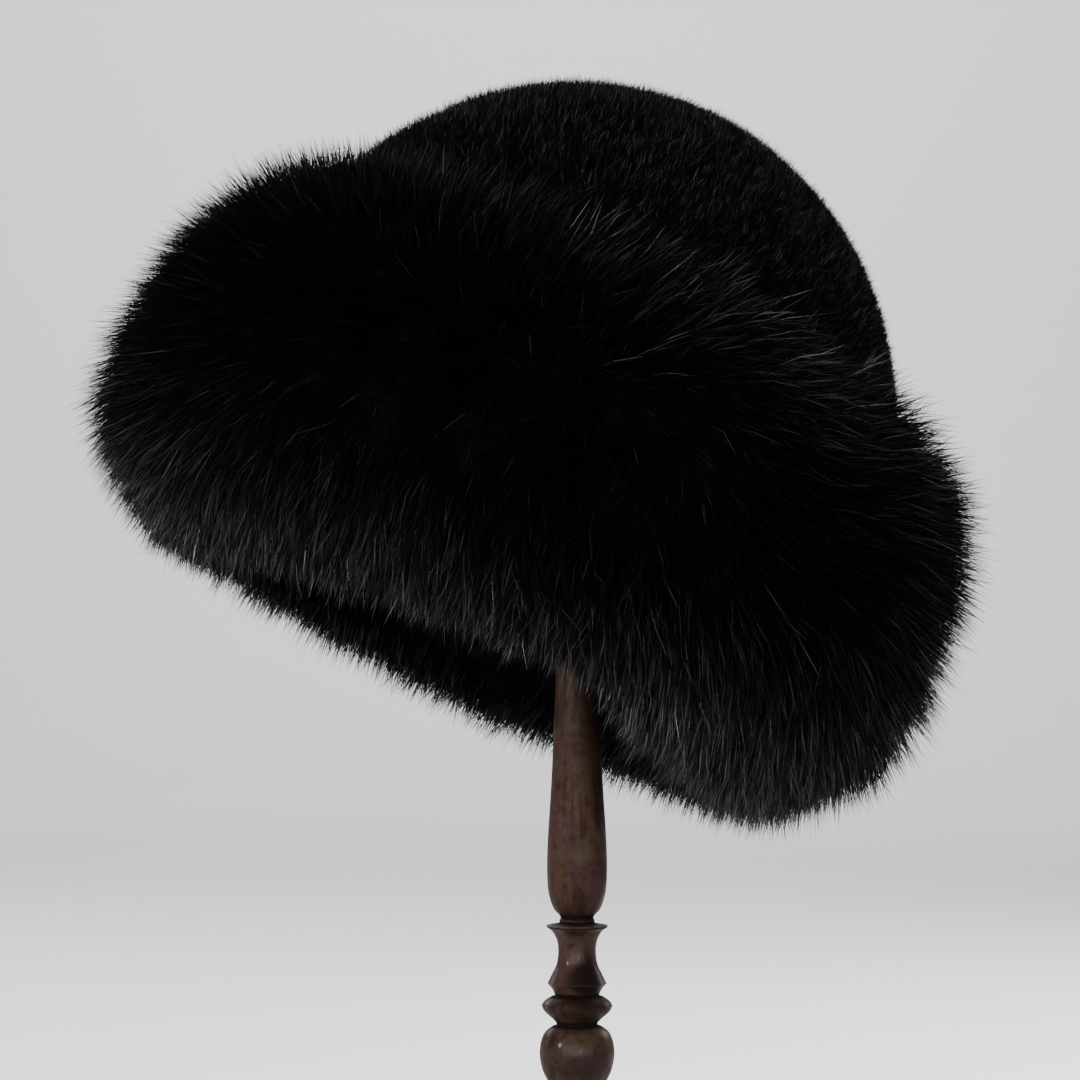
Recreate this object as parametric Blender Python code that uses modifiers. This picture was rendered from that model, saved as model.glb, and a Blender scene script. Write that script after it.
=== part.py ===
"""Fur cuffed dome hat resting on a turned wooden stand, in metres and +Z up.

The origin is the middle of the base's underside. The hat is modelled upright in its own frame, whose origin
is the middle of the dome's foot, and is then tilted, leaned back and lowered onto the stand's head.
"""

import math
import random
from collections import namedtuple

import bmesh
import bpy
from mathutils import Matrix, Vector, noise
from mathutils.bvhtree import BVHTree

# Clearance between pieces that touch
SEAT_GAP = 0.0003

# Crown: a padded plush dome on a straight head band
CROWN_LENGTH = 0.201
CROWN_WIDTH = 0.182
CROWN_WALL = 0.004
DOME_RISE = 0.069
DOME_EQUATOR_DROP = 0.051  # the dome's ellipse would be widest this far below its foot
BAND_DEPTH = 0.114
CROWN_STATIONS = 36
DOME_ROWS = 9
BAND_ROWS = 3

# Fur cuff: a thick ring of pile round the band, closed under its hem
CUFF_DROP = 0.011  # from the dome's foot down to the backing's top edge
CUFF_REACH = 0.0315
CUFF_HEM = 0.017  # from the band's edge down to the backing's underside
CUFF_LIP = 0.012  # the straight part of the hem, round the mouth
CUFF_UNEVENNESS = 0.0022
SWELL_SPAN = 0.057  # the distance over which the backing swells and sinks
CUFF_STATIONS = 2 * CROWN_STATIONS  # a multiple, so that the cuff's flats lie outside the crown's
PILE_SEED = 7

# Locks of the pile, as shares of LOCK_LENGTH unless they say otherwise
LOCK_LENGTH = 0.019
LOCK_UNEVENNESS = 0.30
LOCK_SWAY = 0.26
LOCK_DROOP = 0.30
LOCK_SCATTER = 0.17
UNDERFUR_LENGTH = 0.72
LONG_LOCK_PART = 0.38  # of all locks
LOCK_WAIST_HEIGHT = 0.42
LOCK_WAIST_WIDTH = 0.66  # of the lock's root

# The cuff's section, from its top edge over the outside to its underside: depth below the top edge, reach
# outside the band and length of the locks, as shares of their sizes
Section = namedtuple("Section", "depth reach lock")
CUFF_SECTION = (
    Section(depth=0.000, reach=0.00, lock=0.70),
    Section(depth=0.050, reach=0.33, lock=0.80),
    Section(depth=0.130, reach=0.62, lock=0.90),
    Section(depth=0.240, reach=0.81, lock=1.00),
    Section(depth=0.370, reach=0.92, lock=1.00),
    Section(depth=0.510, reach=0.98, lock=1.00),
    Section(depth=0.650, reach=1.00, lock=1.00),
    Section(depth=0.770, reach=0.94, lock=1.00),
    Section(depth=0.865, reach=0.79, lock=1.00),
    Section(depth=0.935, reach=0.55, lock=0.95),
    Section(depth=0.980, reach=0.26, lock=0.90),
    Section(depth=1.000, reach=0.04, lock=0.80),
)

# How the hat sits: turned down to its right, then leaned back so that its near side rises
HAT_TILT = math.radians(24.5)
HAT_LEAN = math.radians(7.0)

# Stand
BASE_DIAMETER = 0.150
BASE_HEIGHT = 0.020
SPINDLE_LENGTH = 0.386
SPINDLE_DIAMETER = 0.0255
HEAD_DIAMETER = 0.080
HEAD_HEIGHT = 0.030
HEAD_LIP = 0.008
HEAD_ROWS = 6
TENON_DIAMETER = 0.009
TENON_LENGTH = 0.012
TENON_CHAMFER = 0.0012
LATHE_SIDES = 20
BASE_SIDES = 32

# The spindle's turnings, from its top shoulder down. foot is the height of a stretch's lower end as a share
# of SPINDLE_LENGTH, and top, middle and bottom are radii as shares of the spindle's greatest. A fullness of
# 1 makes a peak with straight sides, and 2 a round bead or cove.
Turning = namedtuple("Turning", "name foot top middle bottom fullness steps")
SPINDLE_TURNINGS = (
    Turning("shaft", 0.589, 0.47, 0.50, 0.55, 2.0, 2),
    Turning("vase", 0.417, 0.55, 0.67, 0.81, 2.0, 3),
    Turning("vase foot", 0.363, 0.81, 0.77, 0.51, 2.0, 4),
    Turning("quirk", 0.360, 0.51, 0.47, 0.44, 2.0, 1),
    Turning("disc top", 0.356, 0.44, 0.66, 0.83, 2.0, 1),
    Turning("disc edge", 0.354, 0.83, 0.83, 0.82, 2.0, 1),
    Turning("cove", 0.305, 0.82, 0.49, 0.80, 1.8, 6),
    Turning("cove foot", 0.294, 0.80, 0.70, 0.59, 2.0, 1),
    Turning("ring", 0.271, 0.61, 0.95, 0.56, 1.4, 6),
    Turning("neck", 0.268, 0.56, 0.55, 0.55, 2.0, 1),
    Turning("bulb", 0.209, 0.55, 1.00, 0.62, 2.0, 8),
    Turning("stem", 0.040, 0.62, 0.56, 0.72, 2.0, 4),
    Turning("foot", 0.000, 0.72, 0.93, 0.98, 2.0, 3),
)

# The base's edge, from the flat top round the moulding to the underside: radius and height, as shares
Moulding = namedtuple("Moulding", "reach height")
BASE_MOULDING = (
    Moulding(reach=0.62, height=1.00),
    Moulding(reach=0.66, height=0.90),
    Moulding(reach=0.84, height=0.84),
    Moulding(reach=0.94, height=0.72),
    Moulding(reach=0.99, height=0.52),
    Moulding(reach=1.00, height=0.34),
    Moulding(reach=1.00, height=0.06),
    Moulding(reach=0.99, height=0.00),
)


def clear_scene():
    for thing in list(bpy.data.objects):
        bpy.data.objects.remove(thing, do_unlink=True)


def make_material(name, colour, roughness, sheen=0.0):
    material = bpy.data.materials.new(name)
    material.use_nodes = True
    shader = material.node_tree.nodes["Principled BSDF"]
    shader.inputs["Base Color"].default_value = (*colour, 1.0)
    shader.inputs["Roughness"].default_value = roughness
    shader.inputs["Metallic"].default_value = 0.0
    shader.inputs["Sheen Weight"].default_value = sheen
    return material


def add_object(name, mesh, material, collection, parent=None):
    thing = bpy.data.objects.new(name, mesh)
    thing.data.materials.append(material)
    thing.data.shade_smooth()
    thing.data.set_sharp_from_angle(angle=math.radians(40))
    thing.parent = parent
    collection.objects.link(thing)
    return thing


def mesh_from(bm, name):
    mesh = bpy.data.meshes.new(name)
    bm.to_mesh(mesh)
    bm.free()
    return mesh


def dome_widest():
    """Half length and half height of the ellipsoid that the dome is cut from, and the angle to the cut."""
    half_height = DOME_RISE + DOME_EQUATOR_DROP
    cut = math.acos(DOME_EQUATOR_DROP / half_height)
    return CROWN_LENGTH / 2 / math.sin(cut), half_height, cut


def dome_outline():
    """Radius and height down the dome, from its top to its foot."""
    widest, half_height, cut = dome_widest()
    turns = [cut * row / DOME_ROWS for row in range(DOME_ROWS + 1)]
    return [
        (widest * math.sin(turn), half_height * math.cos(turn) - DOME_EQUATOR_DROP)
        for turn in turns
    ]


def band_outline():
    """Radius and height down the straight band, without its top edge."""
    return [
        (CROWN_LENGTH / 2, -BAND_DEPTH * row / BAND_ROWS)
        for row in range(1, BAND_ROWS + 1)
    ]


def squeeze_to_oval(bm):
    """Narrows a round hat to its oval. What lies inside the crown shrinks, and fur keeps its depth."""
    narrowing = 1 - CROWN_WIDTH / CROWN_LENGTH
    for vert in bm.verts:
        radius = math.hypot(vert.co.x, vert.co.y)
        if radius > 0:
            vert.co.y *= 1 - narrowing * min(radius, CROWN_LENGTH / 2) / radius


def profile_mesh(name, outline, closed=False):
    """The edges of a chain of (radius, height) points in the XZ plane."""
    mesh = bpy.data.meshes.new(name)
    edges = [(i, i + 1) for i in range(len(outline) - 1)]
    if closed:
        edges.append((len(outline) - 1, 0))
    mesh.from_pydata([(radius, 0, height) for radius, height in outline], edges, [])
    return mesh


def add_lathe(thing, sides):
    """Turns the profile about Z. It runs down the piece's outer side, so that the faces point out."""
    lathe = thing.modifiers.new("Lathe", "SCREW")
    lathe.axis = "Z"
    lathe.steps = lathe.render_steps = sides
    lathe.use_merge_vertices = True
    lathe.merge_threshold = 0.00001
    lathe.use_smooth_shade = True


def spun_bmesh(outline, stations, closed=False):
    """The turned outline as a mesh that can be reshaped."""
    guide = bpy.data.objects.new("guide", profile_mesh("guide", outline, closed))
    bpy.context.scene.collection.objects.link(guide)
    add_lathe(guide, stations)
    graph = bpy.context.evaluated_depsgraph_get()
    spun = bpy.data.meshes.new_from_object(guide.evaluated_get(graph))
    bm = bmesh.new()
    bm.from_mesh(spun)
    bpy.data.objects.remove(guide)
    bpy.data.meshes.remove(spun)
    return bm


def model_crown(material, collection, parent):
    bm = spun_bmesh(dome_outline() + band_outline(), CROWN_STATIONS)
    squeeze_to_oval(bm)
    crown = add_object("crown", mesh_from(bm, "crown"), material, collection, parent)
    wall = crown.modifiers.new("Wall", "SOLIDIFY")
    wall.thickness = CROWN_WALL
    wall.offset = -1.0
    wall.use_even_offset = True
    return crown


def cuff_depth():
    """From the backing's top edge down to its underside."""
    return BAND_DEPTH + CUFF_HEM - CUFF_DROP


def cuff_outside():
    """Radius and height along the piled side, from the top edge to the underside."""
    band = CROWN_LENGTH / 2 + SEAT_GAP
    return [
        (band + CUFF_REACH * row.reach, -CUFF_DROP - cuff_depth() * row.depth)
        for row in CUFF_SECTION
    ]


def cuff_inside():
    """Radius and height from the mouth up to the ledge under the band's edge, and round that edge."""
    mouth = CROWN_LENGTH / 2 - CROWN_WALL
    ledge = -BAND_DEPTH - SEAT_GAP
    return [
        (mouth, ledge - CUFF_LIP),
        (mouth, ledge),
        (CROWN_LENGTH / 2 + SEAT_GAP, ledge),
    ]


def piled_faces(bm):
    """The faces outside the band, which all grow locks. It reads the hat before it is squeezed."""
    band = CROWN_LENGTH / 2 + 2 * SEAT_GAP
    return [face for face in bm.faces if face.calc_center_median().xy.length > band]


def any_way_across(normal, draw):
    """A unit vector that lies flat on the surface and points any way."""
    return Matrix.Rotation(math.tau * draw.random(), 3, normal) @ normal.orthogonal().normalized()


def scatter_roots(bm, piled, draw):
    """Shifts the corners between the locks about on the backing, so that no rows of locks show."""
    piled = set(piled)
    for vert in bm.verts:
        if not piled.issuperset(vert.link_faces):
            continue
        swell = CUFF_UNEVENNESS * noise.noise(vert.co / SWELL_SPAN)
        shift = LOCK_SCATTER * LOCK_LENGTH * draw.random()
        vert.co += shift * any_way_across(vert.normal, draw) + swell * vert.normal


def lock_share(height):
    """Length of the locks at a height, as a share of LOCK_LENGTH."""
    depth = (-CUFF_DROP - height) / cuff_depth()
    for above, below in zip(CUFF_SECTION, CUFF_SECTION[1:]):
        if depth <= below.depth:
            along = (depth - above.depth) / (below.depth - above.depth)
            return above.lock + along * (below.lock - above.lock)
    return CUFF_SECTION[-1].lock


def grow_lock(bm, root, down, draw):
    """Draws one face out into a tapering lock with its own length and sway.

    A long one has a waist and bends down from there, and a short one is plain underfur.
    """
    is_long = draw.random() < LONG_LOCK_PART
    length = LOCK_LENGTH * lock_share(root.calc_center_median().z)
    length *= (1 if is_long else UNDERFUR_LENGTH) * (1 + LOCK_UNEVENNESS * (draw.random() - 0.5))
    sway = LOCK_SWAY * draw.random() * any_way_across(root.normal, draw)
    lean = (root.normal + sway).normalized()
    middle = root.calc_center_median()
    if is_long:
        root = bmesh.ops.extrude_discrete_faces(bm, faces=[root])["faces"][0]
        for vert in root.verts:
            narrowed = middle + LOCK_WAIST_WIDTH * (vert.co - middle)
            vert.co = narrowed + LOCK_WAIST_HEIGHT * length * lean
    tip = bmesh.ops.poke(bm, faces=[root])["verts"][0]
    tip.co = middle + length * (lean + LOCK_DROOP * down).normalized()


def model_cuff(material, collection, parent, turn):
    bm = spun_bmesh(cuff_outside() + cuff_inside(), CUFF_STATIONS, closed=True)
    piled = piled_faces(bm)
    squeeze_to_oval(bm)
    bm.normal_update()
    draw = random.Random(PILE_SEED)
    scatter_roots(bm, piled, draw)
    bm.normal_update()
    down = turn.to_3x3().transposed() @ Vector((0, 0, -1))
    for root in piled:
        grow_lock(bm, root, down, draw)
    return add_object("fur_cuff", mesh_from(bm, "fur_cuff"), material, collection, parent)


def turned(name, outline, sides, material, collection, height):
    """A piece of the stand, off the lathe and stood at its height."""
    piece = add_object(name, profile_mesh(name, outline), material, collection)
    piece.location.z = height
    add_lathe(piece, sides)
    return piece


def swelling(turning, along):
    """Radius share part way down a stretch of the spindle."""
    straight = turning.top + along * (turning.bottom - turning.top)
    swell = turning.middle - (turning.top + turning.bottom) / 2
    round_off = (1 - abs(2 * along - 1) ** turning.fullness) ** (1 / turning.fullness)
    return straight + swell * round_off


def spindle_outline():
    """Radius and height down the turnings. A stretch that starts at another radius has a flat shoulder."""
    widest = SPINDLE_DIAMETER / 2
    outline = []
    head = 1.0
    for turning in SPINDLE_TURNINGS:
        if not outline or outline[-1][0] != widest * turning.top:
            outline.append((widest * turning.top, SPINDLE_LENGTH * head))
        for step in range(1, turning.steps + 1):
            # Steps crowd towards the ends, where a bead turns fastest
            along = (1 - math.cos(math.pi * step / turning.steps)) / 2
            height = head + along * (turning.foot - head)
            outline.append((widest * swelling(turning, along), SPINDLE_LENGTH * height))
        head = turning.foot
    return outline


def model_spindle(material, collection):
    tenon = TENON_DIAMETER / 2
    top = SPINDLE_LENGTH + TENON_LENGTH
    outline = [
        (0, top),
        (tenon - TENON_CHAMFER, top),
        (tenon, top - TENON_CHAMFER),
        (tenon, SPINDLE_LENGTH),
        *spindle_outline(),
        (tenon, 0),
        (tenon, TENON_CHAMFER - TENON_LENGTH),
        (tenon - TENON_CHAMFER, -TENON_LENGTH),
        (0, -TENON_LENGTH),
    ]
    height = BASE_HEIGHT + SEAT_GAP
    return turned("stand_spindle", outline, LATHE_SIDES, material, collection, height)


def model_base(material, collection):
    socket = TENON_DIAMETER / 2 + SEAT_GAP
    floor = BASE_HEIGHT - TENON_LENGTH
    moulding = [
        (BASE_DIAMETER / 2 * row.reach, BASE_HEIGHT * row.height)
        for row in BASE_MOULDING
    ]
    outline = [(0, floor), (socket, floor), (socket, BASE_HEIGHT), *moulding, (0, 0)]
    return turned("stand_base", outline, BASE_SIDES, material, collection, 0.0)


def model_head(material, collection):
    """A mushroom whose round top rises from a blunt lip, bored underneath for the spindle's tenon."""
    radius = HEAD_DIAMETER / 2
    rise = HEAD_HEIGHT - HEAD_LIP
    socket = TENON_DIAMETER / 2 + SEAT_GAP
    easing = HEAD_LIP / 3
    turns = [math.pi / 2 * row / HEAD_ROWS for row in range(HEAD_ROWS)]
    dome = [(radius * math.sin(turn), HEAD_LIP + rise * math.cos(turn)) for turn in turns]
    outline = [
        *dome,
        (radius, HEAD_LIP),
        (radius - easing, easing),
        (radius - HEAD_LIP, 0),
        (socket, 0),
        (socket, TENON_LENGTH + SEAT_GAP),
        (0, TENON_LENGTH + SEAT_GAP),
    ]
    height = BASE_HEIGHT + SPINDLE_LENGTH + 2 * SEAT_GAP
    return turned("stand_head", outline, LATHE_SIDES, material, collection, height)


def dome_peak(turn):
    """The point of the dome that is highest once the hat is turned, in the turned hat's directions."""
    half_length, half_height, _ = dome_widest()
    halves = (half_length, half_length * CROWN_WIDTH / CROWN_LENGTH, half_height)
    up = turn.to_3x3().transposed() @ Vector((0, 0, 1))
    reach = Vector([half * part for half, part in zip(halves, up)])
    peak = Vector([half * part / reach.length for half, part in zip(halves, reach)])
    peak.z -= DOME_EQUATOR_DROP
    return turn @ peak


def world_surface(thing):
    """World points of a finished object, and a tree of its faces."""
    graph = bpy.context.evaluated_depsgraph_get()
    solid = thing.evaluated_get(graph)
    mesh = solid.to_mesh()
    points = [solid.matrix_world @ vert.co for vert in mesh.vertices]
    tree = BVHTree.FromPolygons(points, [list(face.vertices) for face in mesh.polygons])
    solid.to_mesh_clear()
    return points, tree


def drop_between(upper, lower):
    """How far the upper thing can fall straight down before it meets the lower one."""
    upper_points, upper_tree = world_surface(upper)
    lower_points, lower_tree = world_surface(lower)
    up, down = Vector((0, 0, 1)), Vector((0, 0, -1))
    falls = [lower_tree.ray_cast(point, down)[3] for point in upper_points]
    falls += [upper_tree.ray_cast(point, up)[3] for point in lower_points]
    return min(fall for fall in falls if fall is not None)


def seat_hat(hat, crown, head, turn):
    """Hangs the dome's highest point over the post and lowers the crown onto the stand's head.

    The hat starts with the head already in its hollow, so that its tilted rim isn't in the way.
    """
    peak = dome_peak(turn)
    head_top = BASE_HEIGHT + SPINDLE_LENGTH + HEAD_HEIGHT
    start = Vector((0, 0, head_top + DOME_RISE)) - peak
    hat.matrix_world = Matrix.Translation(start) @ turn
    bpy.context.view_layer.update()
    hat.location.z -= drop_between(crown, head) - SEAT_GAP


def main():
    clear_scene()
    collection = bpy.data.collections.new("fur_cuffed_hat_on_stand")
    bpy.context.scene.collection.children.link(collection)
    plush = make_material("crown_plush", (0.006, 0.0055, 0.006), 0.85, sheen=0.2)
    fur = make_material("long_fur", (0.0045, 0.0045, 0.005), 0.60, sheen=0.1)
    wood = make_material("dark_wood", (0.030, 0.016, 0.011), 0.35)

    model_base(wood, collection)
    model_spindle(wood, collection)
    head = model_head(wood, collection)

    hat = bpy.data.objects.new("hat", None)
    collection.objects.link(hat)
    turn = Matrix.Rotation(-HAT_LEAN, 4, "X") @ Matrix.Rotation(HAT_TILT, 4, "Y")
    crown = model_crown(plush, collection, hat)
    model_cuff(fur, collection, hat, turn)
    seat_hat(hat, crown, head, turn)


main()
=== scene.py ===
"""Looks of a black fur hat with a deep piled cuff on a turned wooden stand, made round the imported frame.

Lengths are in metres and +Z is up. The hat's pieces are made upright in the hat's own frame, whose origin
is the middle of the dome's foot. They are then tilted onto the stand in their meshes, so that every object
stays at the origin.
"""

import math
from collections import namedtuple

import bpy
import numpy as np
from mathutils import Matrix, Vector


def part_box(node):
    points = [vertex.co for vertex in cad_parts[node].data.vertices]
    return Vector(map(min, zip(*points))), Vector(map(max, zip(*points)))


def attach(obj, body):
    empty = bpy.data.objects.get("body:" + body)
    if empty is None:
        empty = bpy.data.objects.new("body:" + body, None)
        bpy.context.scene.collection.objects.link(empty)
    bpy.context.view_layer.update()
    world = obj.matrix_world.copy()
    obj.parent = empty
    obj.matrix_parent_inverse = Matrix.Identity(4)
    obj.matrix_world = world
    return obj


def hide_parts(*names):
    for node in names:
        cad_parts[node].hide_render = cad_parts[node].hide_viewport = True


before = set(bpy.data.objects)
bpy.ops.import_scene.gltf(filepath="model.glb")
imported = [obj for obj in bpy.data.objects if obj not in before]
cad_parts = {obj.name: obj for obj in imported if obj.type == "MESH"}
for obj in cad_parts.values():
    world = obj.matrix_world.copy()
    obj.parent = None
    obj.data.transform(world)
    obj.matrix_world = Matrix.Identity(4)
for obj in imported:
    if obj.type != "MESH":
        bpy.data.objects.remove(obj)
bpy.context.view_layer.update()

# Seeds of the random draws
FUR_SEED = 11  # and the next ones for the cuff's other pieces
NAP_SEED = 23
TUFT_SEED = 29
DRIFT_SEED = 5
NAP_DRIFT_SEED = 17
LUMP_SEED = 3

# How the hat sits on its stand
HAT_TILT = math.radians(24.5)
HAT_LEAN = math.radians(7.0)
HAT_TURN = Matrix.Rotation(-HAT_LEAN, 3, "X") @ Matrix.Rotation(HAT_TILT, 3, "Y")
DOWN = np.array(HAT_TURN.transposed() @ Vector((0, 0, -1)))  # as the hat's own frame sees it

# Crown
CROWN_LENGTH = 0.201
CROWN_WIDTH = 0.182
CROWN_WALL = 0.004
DOME_RISE = 0.069
DOME_EQUATOR_DROP = 0.051
BAND_DEPTH = 0.114
CROWN_SEGMENTS = 96
CROWN_RINGS = 64
BAND_ROWS = 6
SEAT_GAP = 0.0003

# Short pile of the crown
CROWN_NAP = 148000
CROWN_HAIRS = 34000  # coarser ones that stand out of the nap
CROWN_PILE_LENGTH = 0.0060  # on the raised side
CROWN_PILE_LOW_LENGTH = 0.0036  # on the low side, where it is worn shorter
CROWN_PILE_LEAN = 1.0  # how far the nap is brushed up the dome, against 1 straight out
CROWN_PILE_DRIFT = 0.16
CROWN_DRIFT_SPAN = 0.03
CROWN_PILE_STRAY = 0.42
CROWN_PILE_RISE = 0.35  # the least that a strand rises from the dome
CROWN_PILE_SPREAD = 0.35  # how much shorter than the longest its strands are
CROWN_PILE_FOOT = -0.030  # the lowest roots, under the cuff's pile
CROWN_NAP_WIDTH = 0.00027
CROWN_HAIR_WIDTH = 0.00034
CROWN_HAIR_LENGTH = 1.30
CROWN_HAIR_LEAN = 0.5
# The lighter, glossy strands of the nap paint light up the dome and on its low side, and shade at its foot
CROWN_GLOSS = 0.42  # the share of lighter strands up on the dome
CROWN_LIT = 0.2  # how much of that share there is at the dome's foot, a painted shade under the cuff, and the height over which it grows
CROWN_LIT_RISE = 0.06
CROWN_LIT_LOW_SIDE = 0.15
CROWN_LIT_LEAST = 0.15

# Long pile of the cuff. Each row is a place along its section, from the top edge round to the hem's inside:
# how far the longest tips reach outside the band and their height from the dome's foot, the rise of the
# strands above straight out in degrees, and their length
PileRow = namedtuple("PileRow", "reach height rise length")
CUFF_PILE = (
    PileRow(0.013, -0.004, 74, 0.027),
    PileRow(0.028, -0.011, 52, 0.032),
    PileRow(0.041, -0.024, 30, 0.037),
    PileRow(0.050, -0.042, 8, 0.040),
    PileRow(0.054, -0.063, -12, 0.041),
    PileRow(0.055, -0.086, -29, 0.042),
    PileRow(0.051, -0.109, -46, 0.042),
    PileRow(0.042, -0.127, -62, 0.041),
    PileRow(0.027, -0.141, -76, 0.038),
    PileRow(0.010, -0.149, -88, 0.034),
    PileRow(-0.005, -0.149, -97, 0.030),
    PileRow(-0.012, -0.141, -112, 0.023),
)
# How far the hem's pile hangs at angles round the hat, as a share of its rows' lengths: 0 is the low side
# and -90 the near side, where the hem curls up in front of the post
Hang = namedtuple("Hang", "angle share")
HEM_HANG = (
    Hang(-180, 0.74),
    Hang(-150, 0.78),
    Hang(-130, 0.70),
    Hang(-110, 0.56),
    Hang(-90, 0.44),
    Hang(-75, 0.34),
    Hang(-64, 0.32),
    Hang(-56, 0.60),
    Hang(-46, 0.86),
    Hang(-30, 0.90),
    Hang(0, 0.88),
    Hang(90, 0.92),
    Hang(130, 0.80),
    Hang(150, 0.72),
)
HEM_START = 0.58  # the share of the section where the hem's pile begins
HEM_RISE = 0.010  # how far the hem's roots move up where its pile hangs least
HEM_FRINGE = 0.55  # how much of the shortening its longest hairs escape
CUFF_PIECES = 4
GUARD_HAIRS = 33000  # to a piece: bent ribbons that stand past the rest
UNDERFUR = 80000  # to a piece: straight and fine
GUARD_WIDTH = 0.00039
GUARD_TAPER = 0.85
UNDERFUR_WIDTH = 0.00037
STRAND_START = 0.45  # strands show from this share of their length, inside the undercoat
UNDERCOAT_DEPTH = 0.60  # the undercoat's surface, as a share of the strands' length
UNDERCOAT_HEM_THIN = 0.30  # how much less of it where the hem's pile hangs least
UNDERCOAT_LUMPS = 0.0016
UNDERCOAT_LUMP_SPAN = 0.02
UNDERCOAT_ROUNDS = 240
UNDERCOAT_SECTIONS = 64
UNDERCOAT_OUTER = 44  # of its sections, the ones that follow the pile
UNDERCOAT_HEM_RISE = 0.003  # how far below the band it turns inwards
BAND_BACK_HEIGHTS = (-0.070, -0.030)  # where it lies on the band
TOP_COMB = 0.55  # how far the near top edge is combed towards the low side
TOP_NEAR_TURN = math.radians(50)
TOP_EDGE_SHARE = 0.30  # the part of the section that the near side's lift works on
NEAR_LIFT = 0.018
NEAR_RISE = 18.0
FULL_LENGTH = 0.84  # the thick of the pile ends between this share of the rows' lengths
LENGTH_SPREAD = 0.24  # and this much less
GUARD_LENGTH = 1.05
GUARD_SPREAD = 0.26
GUARD_SWAY = 1.4  # how much more than the rest they stand apart
DROOP = 0.14
EARLY_SWAY = 0.6  # the share of its sway and of its droop that a strand shows at first
EARLY_DROOP = 0.35
BEND_AT = 0.72  # where along it a guard hair bends
BEND_LATE = 0.3
SWAY = 0.10
DRIFT = 0.11
DRIFT_SPAN = 0.060
PILE_MEAN_REACH = 0.03
PILE_SECTION = 0.21  # the section's length along the tips
TUFT_SIZE = 0.0045
TUFT_JITTER = 0.45
TUFT_PULL = 0.38
GUARD_PULL = 0.4  # the share of it that works on a guard hair
TUFT_SWAY = 0.13
TUFT_LENGTH = 0.11  # how much longer or shorter a whole tuft is
SHADES = 16
# Where the lighter, glossier strands go paints light and shade on the cuff: light on the hem, the low side
# and over the crown in front, shade up top
DULL_SHADED_ABOVE = 0.48  # few strands are glossy and lighter up to this share of the section, a painted shade
GLOSSY_LIT_BELOW = 0.76  # and most of them from here down to the hem, a painted light
SHADED_TOP_GLOSS = 0.02
LIT_HEM_GLOSS = 0.46
LIT_OVER_CROWN_GLOSS = 0.40  # where the top edge's hairs lie over the crown, a painted light
LIT_FAN_MIDDLE = 0.55  # the share of them in front, more towards the low side
LIT_FAN_LEAST = 0.25
LIT_LOW_SIDE_GLOSS = 0.10  # and more of them on the side that is turned down, a painted light
UNDERFUR_GLOSS = 0.5  # the share of the glossy strands that the underfur has
TOP_LONG = 0.22  # how much longer its guard hairs are there

# Stand
BASE_DIAMETER = 0.150
BASE_HEIGHT = 0.020
SPINDLE_LENGTH = 0.386
SPINDLE_DIAMETER = 0.0255
HEAD_DIAMETER = 0.080
HEAD_HEIGHT = 0.030
HEAD_LIP = 0.008
HEAD_STEPS = 16
LATHE_SIDES = 72

# The post's outline: heights as shares of its length and radii as shares of its widest. A smooth curve runs
# through the stations between one corner and the next.
Station = namedtuple("Station", "height radius corner")
SPINDLE_STATIONS = (
    Station(1.0000, 0.470, True),
    Station(0.8000, 0.500, False),
    Station(0.5890, 0.560, False),
    Station(0.5290, 0.625, False),
    Station(0.4800, 0.690, False),
    Station(0.4400, 0.768, False),
    Station(0.4110, 0.803, False),
    Station(0.3900, 0.785, False),
    Station(0.3780, 0.715, False),
    Station(0.3700, 0.615, False),
    Station(0.3655, 0.490, True),
    Station(0.3640, 0.452, False),
    Station(0.3618, 0.440, True),
    Station(0.3606, 0.470, False),
    Station(0.3590, 0.470, False),
    Station(0.3580, 0.480, True),
    Station(0.3568, 0.620, False),
    Station(0.3560, 0.800, True),
    Station(0.3553, 0.826, False),
    Station(0.3540, 0.805, True),
    Station(0.3500, 0.650, False),
    Station(0.3420, 0.535, False),
    Station(0.3330, 0.504, False),
    Station(0.3220, 0.545, False),
    Station(0.3130, 0.670, False),
    Station(0.3047, 0.790, True),
    Station(0.3000, 0.670, False),
    Station(0.2940, 0.580, True),
    Station(0.2930, 0.700, False),
    Station(0.2890, 0.880, False),
    Station(0.2850, 0.950, True),
    Station(0.2800, 0.870, False),
    Station(0.2735, 0.650, False),
    Station(0.2700, 0.548, True),
    Station(0.2682, 0.548, True),
    Station(0.2665, 0.680, False),
    Station(0.2620, 0.850, False),
    Station(0.2540, 0.960, False),
    Station(0.2420, 1.000, False),
    Station(0.2290, 0.930, False),
    Station(0.2170, 0.760, False),
    Station(0.2090, 0.620, True),
    Station(0.2040, 0.600, False),
    Station(0.1300, 0.575, False),
    Station(0.0400, 0.720, True),
    Station(0.0280, 0.860, False),
    Station(0.0120, 0.950, False),
    Station(0.0000, 0.980, True),
)
STATION_STEPS = 4
GROOVE_STEP = 0.00025  # sampling along the post, and how many samples the turning is averaged over
GROOVE_REACH = 15
GROOVE_DEPTH = 0.0032
# Hollows darkened with painted shade: their heights and half widths, as shares of the post's length
Groove = namedtuple("Groove", "height span")
GROOVES = (
    Groove(0.3636, 0.0034),
    Groove(0.3546, 0.0012),
    Groove(0.2942, 0.0026),
    Groove(0.2690, 0.0046),
    Groove(0.2080, 0.0040),
)
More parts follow.
